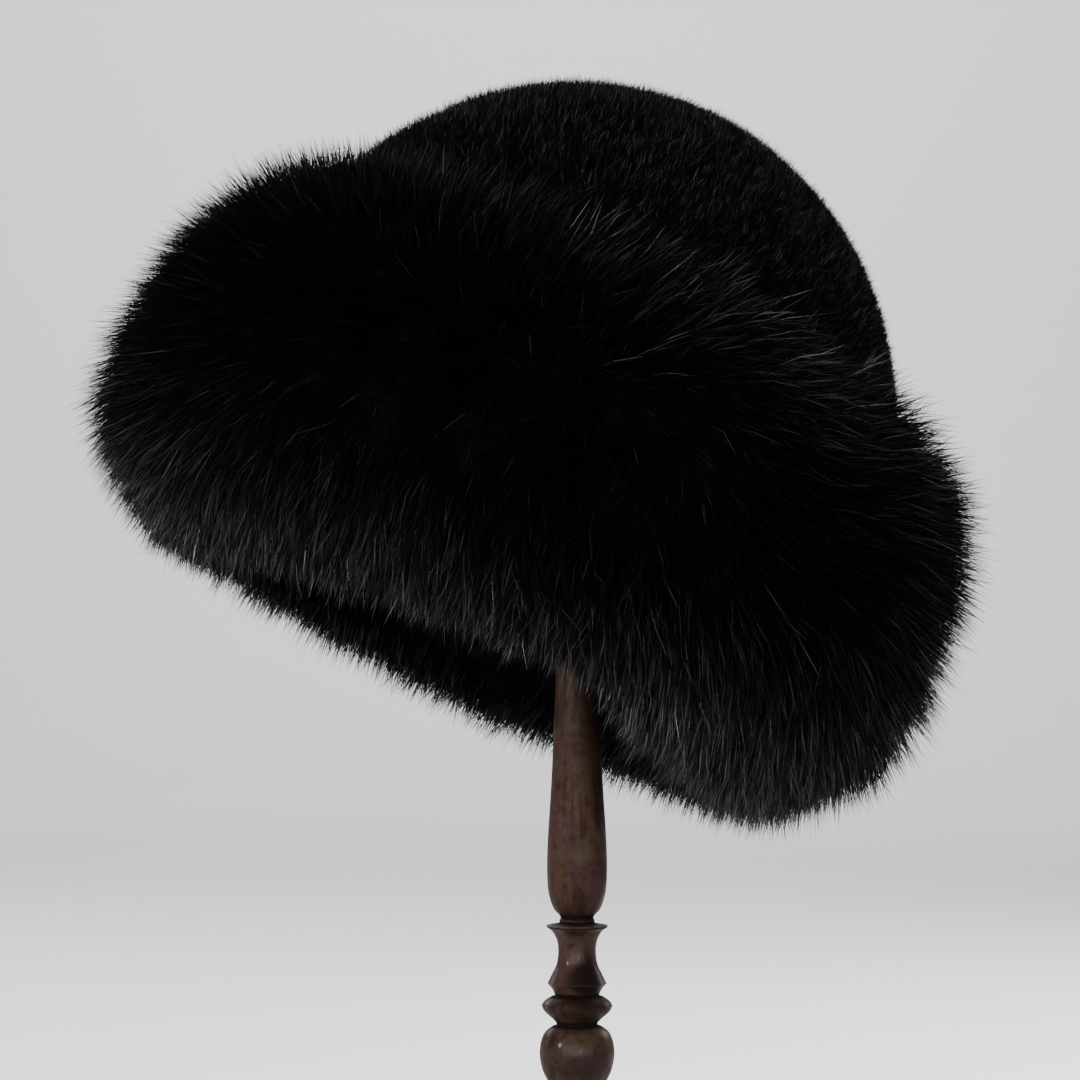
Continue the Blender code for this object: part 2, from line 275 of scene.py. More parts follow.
# Patches where the stain is deeper, and a painted shadow: the first paints the hat's shadow and the shade
# on the upper post's near right side, and the rest darken patches round the cove, the ring and the back.
# Angles are round the post, -90 being the near side, with half their reach, and heights and rises are
# shares of its length
StainAndShadow = namedtuple("StainAndShadow", "angle reach height rise depth")
STAINS_AND_SHADOW = (
    StainAndShadow(-38, 90, 0.77, 0.34, 2.3),
    StainAndShadow(-62, 60, 0.311, 0.020, 2.4),
    StainAndShadow(-75, 90, 0.285, 0.020, 1.0),
    StainAndShadow(-85, 60, 0.235, 0.022, 0.8),
    StainAndShadow(-95, 40, 0.350, 0.012, 0.7),
    StainAndShadow(-90, 100, 0.372, 0.014, 0.8),
    StainAndShadow(140, 70, 0.60, 0.20, 1.0),
    StainAndShadow(90, 60, 0.27, 0.05, 1.0),
)
VARNISH_WORN_ABOVE = 0.175  # heights between which the varnish gets thinner up the post
VARNISH_WHOLE_BELOW = 0.155
Moulding = namedtuple("Moulding", "reach height")
BASE_MOULDING = (
    Moulding(reach=0.62, height=1.00),
    Moulding(reach=0.66, height=0.90),
    Moulding(reach=0.84, height=0.84),
    Moulding(reach=0.94, height=0.72),
    Moulding(reach=0.99, height=0.52),
    Moulding(reach=1.00, height=0.34),
    Moulding(reach=1.00, height=0.06),
    Moulding(reach=0.99, height=0.00),
)

# Stage
FLOOR_WIDTH = 14
FLOOR_DEPTH = 12
FLOOR_MIDDLE = -1.4
WALL_HEIGHT = 5
SWEEP_RADIUS = 1.2
SWEEP_SEGMENTS = 24
WORLD_STRENGTH = 0.05

# Camera, level and in front of the hat as in the photo
CAMERA_PLACE = (-0.0126, -1.377, 0.2886)
CAMERA_LENS = 135.0
CAMERA_SENSOR = 36.0


def hat_origin():
    """Where the CAD crown's box puts the dome's foot."""
    angles = np.linspace(0, math.tau, 720, endpoint=False)
    widest, half_height, cut = dome_widest()
    turns = np.linspace(0, cut, 90)
    dome = [
        (widest * math.sin(turn), half_height * math.cos(turn) - DOME_EQUATOR_DROP)
        for turn in turns
    ]
    outline = np.array(dome + [(CROWN_LENGTH / 2, -BAND_DEPTH)])
    squeeze = CROWN_WIDTH / CROWN_LENGTH
    x = np.outer(outline[:, 0], np.cos(angles)).ravel()
    y = np.outer(outline[:, 0], np.sin(angles)).ravel() * squeeze
    z = np.repeat(outline[:, 1], len(angles))
    turned = np.stack([x, y, z], 1) @ np.array(HAT_TURN).T
    low, high = (np.array(corner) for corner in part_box("crown"))
    return Vector((low + high) / 2 - (turned.min(0) + turned.max(0)) / 2)


def dome_widest():
    """Half length and half height of the ellipsoid that the dome is cut from, and the angle to the cut."""
    half_height = DOME_RISE + DOME_EQUATOR_DROP
    cut = math.acos(DOME_EQUATOR_DROP / half_height)
    return CROWN_LENGTH / 2 / math.sin(cut), half_height, cut


def add_nodes(tree, kind, **settings):
    """One shader node with its settings."""
    node = tree.nodes.new(kind)
    for name, value in settings.items():
        setattr(node, name, value)
    return node


def new_group(name, inputs, outputs):
    """A shader node group with its sockets, and its two end nodes."""
    group = bpy.data.node_groups.new(name, "ShaderNodeTree")
    for label, kind, value in inputs:
        socket = group.interface.new_socket(label, in_out="INPUT", socket_type=kind)
        if value is not None:
            socket.default_value = value
    for label, kind in outputs:
        group.interface.new_socket(label, in_out="OUTPUT", socket_type=kind)
    return group, group.nodes.new("NodeGroupInput"), group.nodes.new("NodeGroupOutput")


def strand_group():
    """Colour of a strand, darker at its root, and its gloss: few shades are light, and those are glossier.
    The shade is U and the way from root to tip is V."""
    group, given, out = new_group(
        "strand",
        [
            ("Root", "NodeSocketColor", (0.002, 0.002, 0.002, 1)),
            ("Tip", "NodeSocketColor", (0.01, 0.01, 0.01, 1)),
            ("Spread", "NodeSocketFloat", 0.5),
            ("Matt", "NodeSocketFloat", 0.75),
            ("Gloss", "NodeSocketFloat", 0.4),
        ],
        [("Color", "NodeSocketColor"), ("Roughness", "NodeSocketFloat")],
    )
    links = group.links
    place = add_nodes(group, "ShaderNodeUVMap", uv_map="OFBake")
    split = add_nodes(group, "ShaderNodeSeparateXYZ")
    links.new(place.outputs["UV"], split.inputs[0])
    along = add_nodes(group, "ShaderNodeMix", data_type="RGBA")
    links.new(split.outputs["Y"], along.inputs["Factor"])
    links.new(given.outputs["Root"], along.inputs["A"])
    links.new(given.outputs["Tip"], along.inputs["B"])
    rare = add_nodes(group, "ShaderNodeMath", operation="POWER")
    links.new(split.outputs["X"], rare.inputs[0])
    rare.inputs[1].default_value = 2.6
    spread = add_nodes(group, "ShaderNodeMath", operation="MULTIPLY_ADD")
    links.new(rare.outputs[0], spread.inputs[0])
    links.new(given.outputs["Spread"], spread.inputs[1])
    spread.inputs[2].default_value = 0.2
    shade = add_nodes(group, "ShaderNodeVectorMath", operation="SCALE")
    links.new(along.outputs["Result"], shade.inputs[0])
    links.new(spread.outputs[0], shade.inputs["Scale"])
    links.new(shade.outputs[0], out.inputs["Color"])
    gloss = add_nodes(group, "ShaderNodeMapRange")
    links.new(split.outputs["X"], gloss.inputs["Value"])
    links.new(given.outputs["Matt"], gloss.inputs["To Min"])
    links.new(given.outputs["Gloss"], gloss.inputs["To Max"])
    links.new(gloss.outputs["Result"], out.inputs["Roughness"])
    return group


def mottle_group():
    """Soft cloudy patches between 0 and 1."""
    group, given, out = new_group(
        "mottle",
        [
            ("Vector", "NodeSocketVector", None),
            ("Scale", "NodeSocketFloat", 40.0),
            ("Low", "NodeSocketFloat", 0.35),
            ("High", "NodeSocketFloat", 0.65),
        ],
        [("Mask", "NodeSocketFloat")],
    )
    clouds = add_nodes(group, "ShaderNodeTexNoise")
    clouds.inputs["Detail"].default_value = 5.0
    clouds.inputs["Roughness"].default_value = 0.6
    group.links.new(given.outputs["Vector"], clouds.inputs["Vector"])
    group.links.new(given.outputs["Scale"], clouds.inputs["Scale"])
    steps = add_nodes(group, "ShaderNodeMapRange", interpolation_type="SMOOTHSTEP")
    group.links.new(clouds.outputs[0], steps.inputs["Value"])
    group.links.new(given.outputs["Low"], steps.inputs["From Min"])
    group.links.new(given.outputs["High"], steps.inputs["From Max"])
    group.links.new(steps.outputs["Result"], out.inputs["Mask"])
    return group


def blend(tree, factor, first, second):
    """A colour mix of two sockets or colours by a factor's socket."""
    mix = add_nodes(tree, "ShaderNodeMix", data_type="RGBA")
    tree.links.new(factor, mix.inputs["Factor"])
    for label, value in (("A", first), ("B", second)):
        if isinstance(value, tuple):
            mix.inputs[label].default_value = (*value, 1)
        else:
            tree.links.new(value, mix.inputs[label])
    return mix.outputs["Result"]


def patches_of(tree, mottle, vector, scale, low, high):
    """The socket of a mask of cloudy patches of one size."""
    node = add_nodes(tree, "ShaderNodeGroup", node_tree=mottle)
    node.inputs["Scale"].default_value = scale
    node.inputs["Low"].default_value = low
    node.inputs["High"].default_value = high
    tree.links.new(vector, node.inputs["Vector"])
    return node.outputs["Mask"]


def wood_group(mottle):
    """Dark stained wood with streaks along X of its vector, clouds of olive and purple brown, patches of
    deeper stain and painted shadow, specks, painted shade in the grooves and ridges that are rubbed
    lighter."""
    group, given, out = new_group(
        "stained_wood",
        [
            ("Vector", "NodeSocketVector", None),
            ("WearAndShade", "NodeSocketFloat", 0.5),
            ("StainAndShadow", "NodeSocketFloat", 0.0),
            ("Dark", "NodeSocketColor", (0.0052, 0.0021, 0.0013, 1)),
            ("Brown", "NodeSocketColor", (0.0215, 0.0104, 0.0062, 1)),
            ("Purple", "NodeSocketColor", (0.0185, 0.0077, 0.0080, 1)),
            ("Olive", "NodeSocketColor", (0.0180, 0.0118, 0.0064, 1)),
            # deeper stain, and the painted shadow on the upper post
            ("Deep", "NodeSocketColor", (0.0030, 0.0007, 0.0008, 1)),
            # the painted shade in the grooves
            ("Groove", "NodeSocketColor", (0.0026, 0.0012, 0.0009, 1)),
            ("Rubbed", "NodeSocketColor", (0.0600, 0.0370, 0.0260, 1)),
        ],
        [("Color", "NodeSocketColor"), ("Height", "NodeSocketFloat")],
    )
    links = group.links
    vector = given.outputs["Vector"]
    stretch = add_nodes(group, "ShaderNodeMapping")
    stretch.inputs["Scale"].default_value = (0.05, 1.0, 1.0)
    links.new(vector, stretch.inputs["Vector"])
    grain = add_nodes(group, "ShaderNodeTexNoise")
    grain.inputs["Scale"].default_value = 800.0
    grain.inputs["Detail"].default_value = 4.0
    links.new(stretch.outputs["Vector"], grain.inputs["Vector"])
    bands = add_nodes(group, "ShaderNodeTexNoise")
    bands.inputs["Scale"].default_value = 190.0
    bands.inputs["Detail"].default_value = 3.0
    links.new(stretch.outputs["Vector"], bands.inputs["Vector"])
    figure = add_nodes(group, "ShaderNodeMath", operation="MULTIPLY_ADD")
    links.new(grain.outputs[0], figure.inputs[0])
    figure.inputs[1].default_value = 0.6
    links.new(bands.outputs[0], figure.inputs[2])
    steps = add_nodes(group, "ShaderNodeMapRange", interpolation_type="SMOOTHSTEP")
    steps.inputs["From Min"].default_value = 0.62
    steps.inputs["From Max"].default_value = 0.92
    links.new(figure.outputs[0], steps.inputs["Value"])
    stain = blend(group, steps.outputs["Result"], given.outputs["Dark"], given.outputs["Brown"])
    purple = patches_of(group, mottle, vector, 60.0, 0.44, 0.66)
    clouded = blend(group, purple, stain, given.outputs["Purple"])
    offset = add_nodes(group, "ShaderNodeMapping")
    offset.inputs["Location"].default_value = (0.37, 0.11, 0.73)
    links.new(vector, offset.inputs["Vector"])
    olive = patches_of(group, mottle, offset.outputs["Vector"], 85.0, 0.48, 0.68)
    clouded = blend(group, olive, clouded, given.outputs["Olive"])
    # Deeper stain, and the painted shadow on the upper post, from the stain mark
    ragged = add_nodes(group, "ShaderNodeMath", operation="MULTIPLY")
    links.new(patches_of(group, mottle, vector, 210.0, 0.12, 0.52), ragged.inputs[0])
    links.new(given.outputs["StainAndShadow"], ragged.inputs[1])
    ragged.use_clamp = True
    clouded = blend(group, ragged.outputs[0], clouded, given.outputs["Deep"])
    specks = patches_of(group, mottle, vector, 420.0, 0.44, 0.78)
    dotted = blend(group, specks, clouded, given.outputs["Dark"])
    # Painted shade in the grooves, where the turning lies lower than around it
    groove = add_nodes(group, "ShaderNodeMapRange", interpolation_type="SMOOTHSTEP")
    groove.inputs["From Min"].default_value = 0.48
    groove.inputs["From Max"].default_value = 0.15
    links.new(given.outputs["WearAndShade"], groove.inputs["Value"])
    groove_shaded = blend(group, groove.outputs["Result"], dotted, given.outputs["Groove"])
    ridge = add_nodes(group, "ShaderNodeMapRange", interpolation_type="SMOOTHSTEP")
    ridge.inputs["From Min"].default_value = 0.60
    ridge.inputs["From Max"].default_value = 1.0
    links.new(given.outputs["WearAndShade"], ridge.inputs["Value"])
    patchy = patches_of(group, mottle, offset.outputs["Vector"], 260.0, 0.36, 0.60)
    rubbed = add_nodes(group, "ShaderNodeMath", operation="MULTIPLY")
    links.new(ridge.outputs["Result"], rubbed.inputs[0])
    links.new(patchy, rubbed.inputs[1])
    worn = blend(group, rubbed.outputs[0], groove_shaded, given.outputs["Rubbed"])
    links.new(worn, out.inputs["Color"])
    links.new(grain.outputs[0], out.inputs["Height"])
    return group


def new_material(name, roughness, **sockets):
    """A material with its constants on the shader's own sockets."""
    material = bpy.data.materials.new(name)
    material.use_nodes = True
    shader = material.node_tree.nodes["Principled BSDF"]
    shader.inputs["Roughness"].default_value = roughness
    for label, value in sockets.items():
        shader.inputs[label.replace("_", " ")].default_value = value
    return material, material.node_tree, shader


def strand_material(name, group, root, tip, spread, matt, gloss, specular):
    """Hair of one kind. Spread is how much lighter the lightest shades are, and matt and gloss are the
    roughness of the darkest and the lightest."""
    material, tree, shader = new_material(name, gloss, Specular_IOR_Level=specular, IOR=1.5)
    colour = add_nodes(tree, "ShaderNodeGroup", node_tree=group)
    colour.inputs["Root"].default_value = (*root, 1)
    colour.inputs["Tip"].default_value = (*tip, 1)
    colour.inputs["Spread"].default_value = spread
    colour.inputs["Matt"].default_value = matt
    colour.inputs["Gloss"].default_value = gloss
    tree.links.new(colour.outputs["Color"], shader.inputs["Base Color"])
    tree.links.new(colour.outputs["Roughness"], shader.inputs["Roughness"])
    return material


def ground_material(name, mottle, dark, light, scale, roughness, bump):
    """A matt cloth ground with soft patches and a fine nap."""
    material, tree, shader = new_material(name, roughness, Specular_IOR_Level=0.01)
    place = add_nodes(tree, "ShaderNodeTexCoord")
    patches = add_nodes(tree, "ShaderNodeGroup", node_tree=mottle)
    patches.inputs["Scale"].default_value = scale
    tree.links.new(place.outputs["Object"], patches.inputs["Vector"])
    colour = add_nodes(tree, "ShaderNodeMix", data_type="RGBA")
    colour.inputs["A"].default_value = (*dark, 1)
    colour.inputs["B"].default_value = (*light, 1)
    tree.links.new(patches.outputs["Mask"], colour.inputs["Factor"])
    tree.links.new(colour.outputs["Result"], shader.inputs["Base Color"])
    nap = add_nodes(tree, "ShaderNodeTexNoise")
    nap.inputs["Scale"].default_value = 1500.0
    tree.links.new(place.outputs["Object"], nap.inputs["Vector"])
    relief = add_nodes(tree, "ShaderNodeBump")
    relief.inputs["Strength"].default_value = 0.5
    relief.inputs["Distance"].default_value = bump
    tree.links.new(nap.outputs[0], relief.inputs["Height"])
    tree.links.new(relief.outputs["Normal"], shader.inputs["Normal"])
    return material


def wood_material(name, group, mottle, grain_turn):
    """Varnished wood, rubbed lighter where the turning stands proud, with painted shade in its grooves and
    a painted shadow among its stain patches.
    """
    material, tree, shader = new_material(
        name, 0.5, Coat_Roughness=0.14, Specular_IOR_Level=0.06
    )
    links = tree.links
    place = add_nodes(tree, "ShaderNodeTexCoord")
    turn = add_nodes(tree, "ShaderNodeMapping")
    turn.inputs["Rotation"].default_value = grain_turn
    links.new(place.outputs["Object"], turn.inputs["Vector"])
    # The wear mark also carries the painted shade in the grooves
    wear_and_shade = add_nodes(tree, "ShaderNodeAttribute", attribute_name="wear_and_shade")
    wood = add_nodes(tree, "ShaderNodeGroup", node_tree=group)
    links.new(wear_and_shade.outputs["Fac"], wood.inputs["WearAndShade"])
    # The stain mark also carries the painted shadow on the upper post
    stain = add_nodes(tree, "ShaderNodeAttribute", attribute_name="stain")
    links.new(stain.outputs["Fac"], wood.inputs["StainAndShadow"])
    links.new(turn.outputs["Vector"], wood.inputs["Vector"])
    links.new(wood.outputs["Color"], shader.inputs["Base Color"])
    patches = add_nodes(tree, "ShaderNodeGroup", node_tree=mottle)
    patches.inputs["Scale"].default_value = 160.0
    links.new(place.outputs["Object"], patches.inputs["Vector"])
    gloss = add_nodes(tree, "ShaderNodeMapRange")
    gloss.inputs["To Min"].default_value = 0.50
    gloss.inputs["To Max"].default_value = 0.75
    links.new(patches.outputs["Mask"], gloss.inputs["Value"])
    open_wood = add_nodes(tree, "ShaderNodeMapRange", interpolation_type="SMOOTHSTEP")
    open_wood.inputs["From Min"].default_value = 0.10
    open_wood.inputs["From Max"].default_value = 0.46
    links.new(wear_and_shade.outputs["Fac"], open_wood.inputs["Value"])
    dulled = add_nodes(tree, "ShaderNodeMix")
    dulled.inputs["A"].default_value = 1.0
    links.new(open_wood.outputs["Result"], dulled.inputs["Factor"])
    links.new(gloss.outputs["Result"], dulled.inputs["B"])
    links.new(dulled.outputs["Result"], shader.inputs["Roughness"])
    height = add_nodes(tree, "ShaderNodeSeparateXYZ")
    links.new(place.outputs["Object"], height.inputs[0])
    varnish = add_nodes(tree, "ShaderNodeMapRange", interpolation_type="SMOOTHSTEP")
    varnish.inputs["From Min"].default_value = VARNISH_WORN_ABOVE
    varnish.inputs["From Max"].default_value = VARNISH_WHOLE_BELOW
    varnish.inputs["To Min"].default_value = 0.004
    varnish.inputs["To Max"].default_value = 0.045
    links.new(height.outputs["Z"], varnish.inputs["Value"])
    coat = add_nodes(tree, "ShaderNodeMath", operation="MULTIPLY")
    links.new(varnish.outputs["Result"], coat.inputs[0])
    links.new(open_wood.outputs["Result"], coat.inputs[1])
    links.new(coat.outputs[0], shader.inputs["Coat Weight"])
    relief = add_nodes(tree, "ShaderNodeBump")
    relief.inputs["Strength"].default_value = 0.15
    relief.inputs["Distance"].default_value = 0.0002
    links.new(wood.outputs["Height"], relief.inputs["Height"])
    links.new(relief.outputs["Normal"], shader.inputs["Normal"])
    return material


def start_piece(name):
    """Names the primitive that was just added and opens it for editing, all selected."""
    piece = bpy.context.object
    piece.name = name
    piece.data.name = name
    bpy.ops.object.mode_set(mode="EDIT")
    bpy.ops.mesh.select_all(action="SELECT")
    return piece


def lay_down(piece, origin):
    """Tilts a finished hat piece onto the stand, in its mesh."""
    piece.data.transform(Matrix.Translation(origin) @ HAT_TURN.to_4x4())


def finish_piece(piece, slot, *materials):
    """Gives a piece its body and its materials where it has none yet. The slot is not used."""
    for material in materials:
        piece.data.materials.append(material)
    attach(piece, "root")


def make_crown(origin, plush, lining):
    """The plush's ground: a dome cut from an ellipsoid, its rim drawn down into the band, with a wall."""
    widest, half_height, _ = dome_widest()
    narrow = CROWN_WIDTH / CROWN_LENGTH
    bpy.ops.object.select_all(action="DESELECT")
    bpy.ops.mesh.primitive_uv_sphere_add(segments=CROWN_SEGMENTS, ring_count=CROWN_RINGS, radius=1)
    crown = start_piece("crown_shell")
    bpy.ops.transform.resize(value=(widest, widest * narrow, half_height))
    bpy.ops.transform.translate(value=(0, 0, -DOME_EQUATOR_DROP))
    bpy.ops.mesh.bisect(plane_co=(0, 0, 0), plane_no=(0, 0, 1), clear_inner=True, threshold=0.000001)
    for _ in range(BAND_ROWS):
        step = {"value": (0, 0, -BAND_DEPTH / BAND_ROWS)}
        bpy.ops.mesh.extrude_region_move(TRANSFORM_OT_translate=step)
    bpy.ops.mesh.select_all(action="SELECT")
    bpy.ops.mesh.remove_doubles(threshold=0.00001)
    bpy.ops.mesh.normals_make_consistent(inside=False)
    bpy.ops.object.mode_set(mode="OBJECT")
    wall = crown.modifiers.new("Wall", "SOLIDIFY")
    wall.thickness = CROWN_WALL
    wall.offset = -1
    wall.material_offset = 1
    wall.material_offset_rim = 1
    crown.data.materials.append(plush)
    crown.data.materials.append(lining)
    bpy.ops.object.modifier_apply(modifier=wall.name)
    bpy.ops.object.shade_smooth_by_angle(angle=math.radians(50))
    lay_down(crown, origin)
    finish_piece(crown, "crown_plush")
    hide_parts("crown")


def out_from_band(angle, reach, height):
    """Points of the hat's frame at angles round it, reaches outside the band and heights."""
    x = (CROWN_LENGTH / 2 + reach) * np.cos(angle)
    y = (CROWN_WIDTH / 2 + reach) * np.sin(angle)
    return np.stack([x, y, height], -1)


def pile_stops():
    """The rows' places along the section, from 0 to 1, by how far apart their tips lie."""
    reach, height, _, _ = (np.array(column) for column in zip(*CUFF_PILE))
    run = np.hypot(np.diff(reach), np.diff(height)).cumsum()
    return np.concatenate([[0], run]) / run[-1]


PILE_STOPS = pile_stops()


def hem_short(angle):
    """How much of its length the hem's pile lacks at angles round the hat."""
    degrees, share = zip(*HEM_HANG)
    return 1 - np.interp(np.degrees(angle), degrees, share, period=360)


def cuff_pile(angle, along):
    """Roots, directions and lengths of the long pile at angles round the hat and places on its section."""
    reach, height, rise, length = (
        np.interp(along, PILE_STOPS, column) for column in zip(*CUFF_PILE)
    )
    reach = reach - length * np.cos(np.radians(rise))
    height = height - length * np.sin(np.radians(rise))
    lift = np.abs(np.sin(angle)) * np.clip(1 - along / TOP_EDGE_SHARE, 0, 1)
    rise = np.radians(rise + NEAR_RISE * lift)
    short = np.clip((along - HEM_START) / (1 - HEM_START), 0, 1) * hem_short(angle)
    length = length * (1 - short)
    root = out_from_band(angle, reach, height + NEAR_LIFT * lift + HEM_RISE * short)
    outward = np.stack([np.cos(angle), np.sin(angle), np.zeros_like(angle)], -1)
    combed = TOP_COMB * top_near(angle, along)[:, None] * np.array([1, 0, 0])
    way = unit(np.cos(rise)[:, None] * outward + np.sin(rise)[:, None] * np.array([0, 0, 1]) + combed)
    return root, way, length


def top_near(angle, along):
    """How far places belong to the top edge on the near and low side, whose hairs lie over the crown."""
    facing = np.clip(1.5 * np.cos(angle + TOP_NEAR_TURN), 0, 1)
    return facing * np.clip(1.3 - along / TOP_EDGE_SHARE, 0, 1)


def waves(points, span, seed):
    """A smooth vector field that turns over about a span, the same on each run."""
    draw = np.random.default_rng(seed)
    field = np.zeros_like(points)
    for _ in range(7):
        way = draw.normal(size=3)
        way /= np.linalg.norm(way)
        phase = points @ way * math.tau / (span * draw.uniform(0.7, 1.8)) + draw.uniform(0, math.tau)
        field += np.sin(phase)[:, None] * draw.normal(size=3)
    return field / math.sqrt(7)


def unit(vectors):
    """The vectors at length 1."""
    return vectors / np.linalg.norm(vectors, axis=-1, keepdims=True)


def make_undercoat(origin, material):
    """The dark mass under the cuff's tips: a torus reshaped to the pile's section round the band."""
    rounds, sections = UNDERCOAT_ROUNDS, UNDERCOAT_SECTIONS
    bpy.ops.object.select_all(action="DESELECT")
    bpy.ops.mesh.primitive_torus_add(
        major_segments=rounds, minor_segments=sections, major_radius=0.13, minor_radius=0.03
    )
    undercoat = start_piece("cuff_undercoat")
    bpy.ops.object.mode_set(mode="OBJECT")
    places = np.linspace(0, 1, UNDERCOAT_OUTER)
    hem = CROWN_WALL
    inside = np.array([
        (-hem, -BAND_DEPTH - UNDERCOAT_HEM_RISE),
        (-hem, -BAND_DEPTH - SEAT_GAP),
        (SEAT_GAP, -BAND_DEPTH - SEAT_GAP),
        *((SEAT_GAP, height) for height in BAND_BACK_HEIGHTS),
    ])
    count = sections - len(places)
    stops = np.linspace(0, 1, len(inside))
    back = np.linspace(0, 1, count)
    back_reach = np.interp(back, stops, inside[:, 0])
    back_height = np.interp(back, stops, inside[:, 1])
    angles = np.arange(rounds) * math.tau / rounds
    verts = np.zeros((rounds, sections, 3))
    for index, place in enumerate(places):
        root, way, length = cuff_pile(angles, np.full(rounds, place))
        depth = (UNDERCOAT_DEPTH - UNDERCOAT_HEM_THIN * hem_short(angles) * place**3) * length
        verts[:, index] = root + depth[:, None] * way
    for index in range(count):
        lift = np.full(rounds, back_height[index])
        verts[:, len(places) + index] = out_from_band(angles, back_reach[index], lift)
    flat = verts.reshape(-1, 3)
    lumps = waves(flat, UNDERCOAT_LUMP_SPAN, LUMP_SEED) * UNDERCOAT_LUMPS
    outer = np.tile(np.arange(sections) < len(places), rounds)
    flat[outer] += lumps[outer]
    undercoat.data.vertices.foreach_set("co", flat.astype(np.float32).ravel())
    bpy.ops.object.mode_set(mode="EDIT")
    bpy.ops.mesh.normals_make_consistent(inside=False)
    bpy.ops.object.mode_set(mode="OBJECT")
    bpy.ops.object.shade_smooth()
    lay_down(undercoat, origin)
    finish_piece(undercoat, "long_fur", material)
    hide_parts("fur_cuff")


def strands_mesh(name, points, widths, shades, glossy, materials, draw):
    """Joined ribbons that narrow to a point. points holds each strand's stations from root to tip, and the
    glossy ones take the piece's second material."""
    count, stations, _ = points.shape
    ways = unit(points[:, -1] - points[:, 0])
    across = unit(np.cross(ways, draw.normal(size=(count, 3))))
    rungs = stations - 1
    verts = np.empty((count, 2 * rungs + 1, 3), np.float32)
    for rung in range(rungs):
        half = 0.5 * widths[rung] * across
        verts[:, 2 * rung] = points[:, rung] - half
        verts[:, 2 * rung + 1] = points[:, rung] + half
    verts[:, -1] = points[:, -1]
    step = 2 * rungs + 1
    quads = [(2 * r, 2 * r + 1, 2 * r + 3, 2 * r + 2) for r in range(rungs - 1)]
    cap = (2 * rungs - 2, 2 * rungs - 1, 2 * rungs)
    corners = np.array([c for quad in quads for c in quad] + list(cap))
    first = np.arange(count)[:, None] * step
    loops = (first + corners).ravel()
    sizes = np.tile([4] * len(quads) + [3], count)
    mesh = bpy.data.meshes.new(name)
    mesh.vertices.add(count * step)
    mesh.vertices.foreach_set("co", verts.ravel())
    mesh.loops.add(len(loops))
    mesh.loops.foreach_set("vertex_index", loops.astype(np.int32))
    mesh.polygons.add(len(sizes))
    starts = np.concatenate([[0], np.cumsum(sizes)[:-1]])
    mesh.polygons.foreach_set("loop_start", starts.astype(np.int32))
    for material in materials:
        mesh.materials.append(material)
    mesh.polygons.foreach_set("material_index", np.repeat(glossy, rungs).astype(np.int32))
    mesh.update(calc_edges=True)
    # U is the strand's shade and V runs from its root to its tip
    side = np.array([-1, 1] * rungs + [0]) * 0.4 / SHADES
    height = np.array([v for r in range(rungs) for v in (r / rungs, r / rungs)] + [1.0])
    u = ((shades + 0.5) / SHADES)[:, None] + side[corners]
    v = np.tile(0.02 + 0.96 * height[corners], (count, 1))
    layer = mesh.uv_layers.new(name="OFBake")
    layer.data.foreach_set("uv", np.stack([u, v], -1).astype(np.float32).ravel())
    piece = bpy.data.objects.new(name, mesh)
    bpy.context.scene.collection.objects.link(piece)
    return piece


def join(piece, other):
    """Makes a second object part of a piece."""
    bpy.ops.object.select_all(action="DESELECT")
    other.select_set(True)
    piece.select_set(True)
    bpy.context.view_layer.objects.active = piece
    bpy.ops.object.join()


def tuft_of(angle, along):
    """The tuft that each strand belongs to: its centre's angle and place on the section, and its sway."""
    girth = math.pi * (CROWN_LENGTH + CROWN_WIDTH) / 2 + math.tau * PILE_MEAN_REACH
    columns = int(girth / TUFT_SIZE)
    rows = int(PILE_SECTION / TUFT_SIZE)
    draw = np.random.default_rng(TUFT_SEED)
    jitter = draw.uniform(-TUFT_JITTER, TUFT_JITTER, size=(columns, rows, 2))
    sways = TUFT_SWAY * draw.normal(size=(columns * rows, 3))
    column = angle / math.tau * columns
    row = along * rows
    best = np.full(len(angle), np.inf)
    found = np.zeros((len(angle), 2))
    number = np.zeros(len(angle), int)
    for dc in (-1, 0, 1):
        for dr in (-1, 0, 1):
            c = np.floor(column).astype(int) + dc
            r = np.clip(np.floor(row).astype(int) + dr, 0, rows - 1)
            spot = jitter[c % columns, r]
            centre = np.stack([c + 0.5 + spot[:, 0], r + 0.5 + spot[:, 1]], -1)
            gap = np.hypot(centre[:, 0] - column, centre[:, 1] - row)
            nearer = gap < best
            best[nearer] = gap[nearer]
            found[nearer] = centre[nearer]
            number[nearer] = ((c % columns) * rows + r)[nearer]
    return found[:, 0] / columns * math.tau, np.clip(found[:, 1] / rows, 0, 1), sways[number]


def grown(angle, along, sway, stretch):
    """Start, middle and tip of strands that lean with their sway and the drifts of the fur, and droop."""
    root, way, length = cuff_pile(angle, along)
    length = (length * stretch)[:, None]
    drift = DRIFT * waves(root, DRIFT_SPAN, DRIFT_SEED)
    early = unit(way + EARLY_SWAY * (sway + drift) + EARLY_DROOP * DROOP * DOWN)
    late = unit(way + sway + drift + DROOP * DOWN)
    start = root + STRAND_START * length * early
    middle = root + length * (BEND_AT * unit(early + BEND_LATE * late))
    return start, middle, root + length * late


